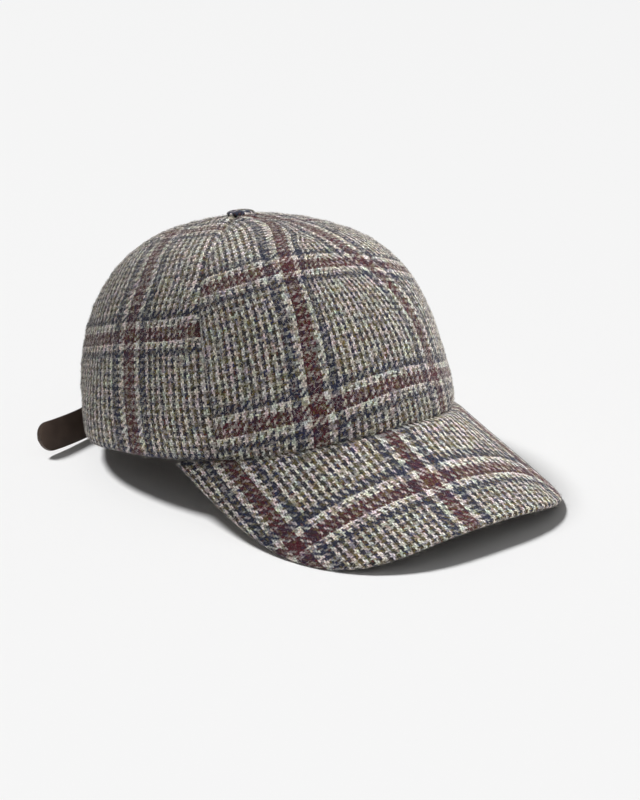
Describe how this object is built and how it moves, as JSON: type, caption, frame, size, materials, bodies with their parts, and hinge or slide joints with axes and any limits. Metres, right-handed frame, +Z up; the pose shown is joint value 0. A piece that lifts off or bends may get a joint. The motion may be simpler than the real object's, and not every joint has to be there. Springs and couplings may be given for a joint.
{
  "type": "five-panel cap",
  "caption": "Soft five-panel cap in checked woven wool with a curved peak, a covered button and a leather back strap with a brass slide buckle.",
  "frame": {"origin": "middle of the cap's footprint on the surface it rests on, on its peak's corners and the two feet of the back arch", "axes": "+Z up, -Y the way the peak points, +X the wearer's left"},
  "size_m": [0.186, 0.2652, 0.1197],
  "materials": {
    "wool_check": "heathered woven wool check with an olive ground and maroon and navy lines",
    "button_wool": "the same wool stretched over a button",
    "strap_leather": "smooth dark brown leather, satin",
    "buckle_brass": "satin antique brass"
  },
  "bodies": {
    "root": {"front_panel": "wool_check", "side_panel_right": "wool_check", "side_panel_left": "wool_check", "back_panel_right": "wool_check", "back_panel_left": "wool_check", "peak": "wool_check", "button": "button_wool", "strap": "strap_leather", "strap_tab": "strap_leather", "buckle": "buckle_brass"}
  },
  "joints": []
}
